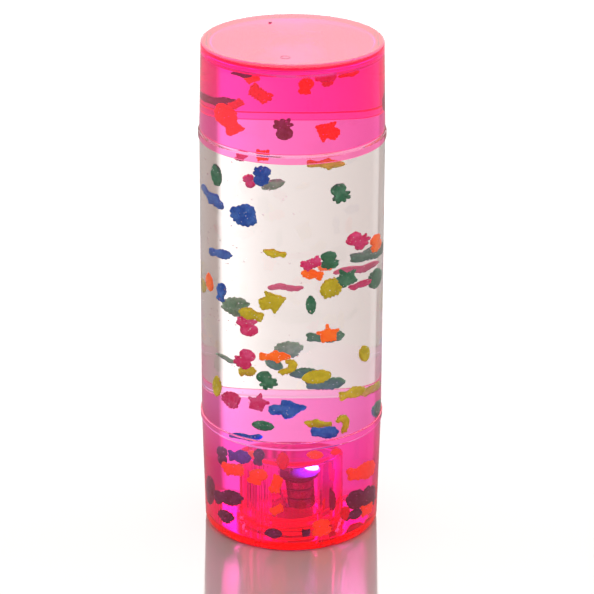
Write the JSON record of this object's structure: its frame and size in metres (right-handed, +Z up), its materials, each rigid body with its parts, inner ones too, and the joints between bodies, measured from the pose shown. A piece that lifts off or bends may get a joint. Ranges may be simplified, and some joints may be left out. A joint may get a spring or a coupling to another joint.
{
  "type": "liquid rainmaker tube",
  "caption": "Sealed clear tube of liquid with pink end caps, drifting soft sea-creature pieces and a flashing lamp in the base; turned end over end.",
  "frame": {"origin": "centre of the flat base, on the surface that the tube stands on", "axes": "+Z up the tube towards the upper cap; -Y is the side that the soft pieces face"},
  "size_m": [0.0508, 0.0508, 0.14],
  "materials": {
    "clear_plastic": "clear moulded styrene, polished inside and out",
    "pink_plastic": "hot pink translucent moulded styrene, polished",
    "sheet_steel": "thin bent spring steel",
    "cell_can": "nickel-plated button cell",
    "board": "green solder mask",
    "led_lens": "clear lamp lens, lit violet",
    "epoxy": "black epoxy drop",
    "spring_wire": "plated wire",
    "orange_vinyl": "soft dyed vinyl",
    "red_vinyl": "soft dyed vinyl",
    "yellow_vinyl": "soft dyed vinyl",
    "green_vinyl": "soft dyed vinyl",
    "greygreen_vinyl": "soft dyed vinyl, paler",
    "teal_vinyl": "soft dyed vinyl",
    "blue_vinyl": "soft dyed vinyl",
    "magenta_vinyl": "soft dyed vinyl"
  },
  "bodies": {
    "tube": {"barrel": "clear_plastic", "upper_cap": "pink_plastic", "lower_cap": "pink_plastic", "base_plug": "pink_plastic", "button_cell_1": "cell_can", "button_cell_2": "cell_can", "button_cell_3": "cell_can", "contact_strip": "sheet_steel", "top_contact": "sheet_steel", "circuit_board": "board", "led_lamp": "led_lens", "controller_chip": "epoxy", "shake_pin": "spring_wire"},
    "shake_coil": {"shake_coil": "spring_wire"},
    "orange_fish_1": {"orange_fish_1": "orange_vinyl"},
    "green_octopus_1": {"green_octopus_1": "green_vinyl"},
    "orange_angelfish_1": {"orange_angelfish_1": "orange_vinyl"},
    "red_crab_1": {"red_crab_1": "red_vinyl"},
    "green_whale_1": {"green_whale_1": "green_vinyl"},
    "yellow_dolphin_1": {"yellow_dolphin_1": "yellow_vinyl"},
    "green_leaf_1": {"green_leaf_1": "green_vinyl"},
    "blue_octopus_1": {"blue_octopus_1": "blue_vinyl"},
    "greygreen_leaf_1": {"greygreen_leaf_1": "greygreen_vinyl"},
    "green_octopus_2": {"green_octopus_2": "green_vinyl"},
    "blue_dolphin_1": {"blue_dolphin_1": "blue_vinyl"},
    "blue_shell_1": {"blue_shell_1": "blue_vinyl"},
    "blue_fish_1": {"blue_fish_1": "blue_vinyl"},
    "yellow_dolphin_2": {"yellow_dolphin_2": "yellow_vinyl"},
    "magenta_octopus_1": {"magenta_octopus_1": "magenta_vinyl"},
    "teal_whale_1": {"teal_whale_1": "teal_vinyl"},
    "magenta_crab_1": {"magenta_crab_1": "magenta_vinyl"},
    "green_octopus_3": {"green_octopus_3": "green_vinyl"},
    "magenta_eel_1": {"magenta_eel_1": "magenta_vinyl"},
    "green_star_1": {"green_star_1": "green_vinyl"},
    "green_leaf_2": {"green_leaf_2": "green_vinyl"},
    "orange_fish_2": {"orange_fish_2": "orange_vinyl"},
    "yellow_shell_1": {"yellow_shell_1": "yellow_vinyl"},
    "blue_fish_2": {"blue_fish_2": "blue_vinyl"},
    "magenta_eel_2": {"magenta_eel_2": "magenta_vinyl"},
    "yellow_angelfish_1": {"yellow_angelfish_1": "yellow_vinyl"},
    "greygreen_shell_1": {"greygreen_shell_1": "greygreen_vinyl"},
    "yellow_fish_1": {"yellow_fish_1": "yellow_vinyl"},
    "magenta_octopus_2": {"magenta_octopus_2": "magenta_vinyl"},
    "orange_star_1": {"orange_star_1": "orange_vinyl"},
    "green_whale_2": {"green_whale_2": "green_vinyl"},
    "magenta_octopus_3": {"magenta_octopus_3": "magenta_vinyl"},
    "greygreen_shell_2": {"greygreen_shell_2": "greygreen_vinyl"},
    "orange_dolphin_1": {"orange_dolphin_1": "orange_vinyl"},
    "yellow_seahorse_1": {"yellow_seahorse_1": "yellow_vinyl"},
    "green_octopus_4": {"green_octopus_4": "green_vinyl"},
    "yellow_leaf_1": {"yellow_leaf_1": "yellow_vinyl"},
    "green_whale_3": {"green_whale_3": "green_vinyl"},
    "yellow_fish_2": {"yellow_fish_2": "yellow_vinyl"},
    "magenta_shell_1": {"magenta_shell_1": "magenta_vinyl"},
    "magenta_star_1": {"magenta_star_1": "magenta_vinyl"},
    "blue_arrowfish_1": {"blue_arrowfish_1": "blue_vinyl"},
    "yellow_dolphin_3": {"yellow_dolphin_3": "yellow_vinyl"},
    "blue_whale_1": {"blue_whale_1": "blue_vinyl"},
    "blue_fish_3": {"blue_fish_3": "blue_vinyl"},
    "orange_leaf_1": {"orange_leaf_1": "orange_vinyl"}
  },
  "joints": [
    {"name": "shake_coil_tremble", "type": "hinge", "parent": "tube", "child": "shake_coil", "pos_m": [-0.00055, 0.0021, 0.0175], "axis": [1, 0, 0], "range_deg": [-5, 5], "stiffness_Nm_per_rad": 0.0001},
    {"name": "orange_fish_1_drift", "type": "slide", "parent": "tube", "child": "orange_fish_1", "axis": [0, 0, 1], "range_m": [-0.015, 0.005]},
    {"name": "green_octopus_1_drift", "type": "slide", "parent": "tube", "child": "green_octopus_1", "axis": [0, 0, 1], "range_m": [-0.007, 0.003]},
    {"name": "orange_angelfish_1_drift", "type": "slide", "parent": "tube", "child": "orange_angelfish_1", "axis": [0, 0, 1], "range_m": [-0.012, 0.007]},
    {"name": "red_crab_1_drift", "type": "slide", "parent": "tube", "child": "red_crab_1", "axis": [0, 0, 1], "range_m": [-0.003, 0.003]},
    {"name": "green_whale_1_drift", "type": "slide", "parent": "tube", "child": "green_whale_1", "axis": [0, 0, 1], "range_m": [-0.01, 0.013]},
    {"name": "yellow_dolphin_1_drift", "type": "slide", "parent": "tube", "child": "yellow_dolphin_1", "axis": [0, 0, 1], "range_m": [-0.026, 0.019]},
    {"name": "green_leaf_1_drift", "type": "slide", "parent": "tube", "child": "green_leaf_1", "axis": [0, 0, 1], "range_m": [-0.026, 0.027]},
    {"name": "blue_octopus_1_drift", "type": "slide", "parent": "tube", "child": "blue_octopus_1", "axis": [0, 0, 1], "range_m": [-0.005, 0.007]},
    {"name": "greygreen_leaf_1_drift", "type": "slide", "parent": "tube", "child": "greygreen_leaf_1", "axis": [0, 0, 1], "range_m": [-0.075, 0.034]},
    {"name": "green_octopus_2_drift", "type": "slide", "parent": "tube", "child": "green_octopus_2", "axis": [0, 0, 1], "range_m": [-0.033, 0.012]},
    {"name": "blue_dolphin_1_drift", "type": "slide", "parent": "tube", "child": "blue_dolphin_1", "axis": [0, 0, 1], "range_m": [-0.011, 0.015]},
    {"name": "blue_shell_1_drift", "type": "slide", "parent": "tube", "child": "blue_shell_1", "axis": [0, 0, 1], "range_m": [-0.017, 0.005]},
    {"name": "blue_fish_1_drift", "type": "slide", "parent": "tube", "child": "blue_fish_1", "axis": [0, 0, 1], "range_m": [-0.028, 0.011]},
    {"name": "yellow_dolphin_2_drift", "type": "slide", "parent": "tube", "child": "yellow_dolphin_2", "axis": [0, 0, 1], "range_m": [-0.009, 0.017]},
    {"name": "magenta_octopus_1_drift", "type": "slide", "parent": "tube", "child": "magenta_octopus_1", "axis": [0, 0, 1], "range_m": [-0.075, 0.047]},
    {"name": "teal_whale_1_drift", "type": "slide", "parent": "tube", "child": "teal_whale_1", "axis": [0, 0, 1], "range_m": [-0.002, 0.054]},
    {"name": "magenta_crab_1_drift", "type": "slide", "parent": "tube", "child": "magenta_crab_1", "axis": [0, 0, 1], "range_m": [-0.006, 0.031]},
    {"name": "green_octopus_3_drift", "type": "slide", "parent": "tube", "child": "green_octopus_3", "axis": [0, 0, 1], "range_m": [0, 0.052]},
    {"name": "magenta_eel_1_drift", "type": "slide", "parent": "tube", "child": "magenta_eel_1", "axis": [0, 0, 1], "range_m": [-0.016, 0.028]},
    {"name": "green_star_1_drift", "type": "slide", "parent": "tube", "child": "green_star_1", "axis": [0, 0, 1], "range_m": [-0.048, 0]},
    {"name": "green_leaf_2_drift", "type": "slide", "parent": "tube", "child": "green_leaf_2", "axis": [0, 0, 1], "range_m": [-0.033, 0.002]},
    {"name": "orange_fish_2_drift", "type": "slide", "parent": "tube", "child": "orange_fish_2", "axis": [0, 0, 1], "range_m": [-0.035, 0.056]},
    {"name": "yellow_shell_1_drift", "type": "slide", "parent": "tube", "child": "yellow_shell_1", "axis": [0, 0, 1], "range_m": [-0.044, 0.055]},
    {"name": "blue_fish_2_drift", "type": "slide", "parent": "tube", "child": "blue_fish_2", "axis": [0, 0, 1], "range_m": [-0.022, 0.026]},
    {"name": "magenta_eel_2_drift", "type": "slide", "parent": "tube", "child": "magenta_eel_2", "axis": [0, 0, 1], "range_m": [-0.014, 0.065]},
    {"name": "yellow_angelfish_1_drift", "type": "slide", "parent": "tube", "child": "yellow_angelfish_1", "axis": [0, 0, 1], "range_m": [-0.023, 0.009]},
    {"name": "greygreen_shell_1_drift", "type": "slide", "parent": "tube", "child": "greygreen_shell_1", "axis": [0, 0, 1], "range_m": [-0.013, 0.024]},
    {"name": "yellow_fish_1_drift", "type": "slide", "parent": "tube", "child": "yellow_fish_1", "axis": [0, 0, 1], "range_m": [-0.008, 0.023]},
    {"name": "magenta_octopus_2_drift", "type": "slide", "parent": "tube", "child": "magenta_octopus_2", "axis": [0, 0, 1], "range_m": [-0.029, 0.071]},
    {"name": "orange_star_1_drift", "type": "slide", "parent": "tube", "child": "orange_star_1", "axis": [0, 0, 1], "range_m": [-0.007, 0.002]},
    {"name": "green_whale_2_drift", "type": "slide", "parent": "tube", "child": "green_whale_2", "axis": [0, 0, 1], "range_m": [-0.01, 0.016]},
    {"name": "magenta_octopus_3_drift", "type": "slide", "parent": "tube", "child": "magenta_octopus_3", "axis": [0, 0, 1], "range_m": [-0.005, 0.008]},
    {"name": "greygreen_shell_2_drift", "type": "slide", "parent": "tube", "child": "greygreen_shell_2", "axis": [0, 0, 1], "range_m": [0, 0.014]},
    {"name": "orange_dolphin_1_drift", "type": "slide", "parent": "tube", "child": "orange_dolphin_1", "axis": [0, 0, 1], "range_m": [-0.016, 0.046]},
    {"name": "yellow_seahorse_1_drift", "type": "slide", "parent": "tube", "child": "yellow_seahorse_1", "axis": [0, 0, 1], "range_m": [-0.026, 0.075]},
    {"name": "green_octopus_4_drift", "type": "slide", "parent": "tube", "child": "green_octopus_4", "axis": [0, 0, 1], "range_m": [-0.02, 0.014]},
    {"name": "yellow_leaf_1_drift", "type": "slide", "parent": "tube", "child": "yellow_leaf_1", "axis": [0, 0, 1], "range_m": [-0.012, 0.007]},
    {"name": "green_whale_3_drift", "type": "slide", "parent": "tube", "child": "green_whale_3", "axis": [0, 0, 1], "range_m": [-0.015, 0.006]},
    {"name": "yellow_fish_2_drift", "type": "slide", "parent": "tube", "child": "yellow_fish_2", "axis": [0, 0, 1], "range_m": [-0.014, 0.028]},
    {"name": "magenta_shell_1_drift", "type": "slide", "parent": "tube", "child": "magenta_shell_1", "axis": [0, 0, 1], "range_m": [-0.012, 0.007]},
    {"name": "magenta_star_1_drift", "type": "slide", "parent": "tube", "child": "magenta_star_1", "axis": [0, 0, 1], "range_m": [-0.001, 0.005]},
    {"name": "blue_arrowfish_1_drift", "type": "slide", "parent": "tube", "child": "blue_arrowfish_1", "axis": [0, 0, 1], "range_m": [-0.011, 0.035]},
    {"name": "yellow_dolphin_3_drift", "type": "slide", "parent": "tube", "child": "yellow_dolphin_3", "axis": [0, 0, 1], "range_m": [-0.008, 0.031]},
    {"name": "blue_whale_1_drift", "type": "slide", "parent": "tube", "child": "blue_whale_1", "axis": [0, 0, 1], "range_m": [-0.028, 0.012]},
    {"name": "blue_fish_3_drift", "type": "slide", "parent": "tube", "child": "blue_fish_3", "axis": [0, 0, 1], "range_m": [0, 0.105]},
    {"name": "orange_leaf_1_drift", "type": "slide", "parent": "tube", "child": "orange_leaf_1", "axis": [0, 0, 1], "range_m": [-0.023, 0.026]}
  ]
}
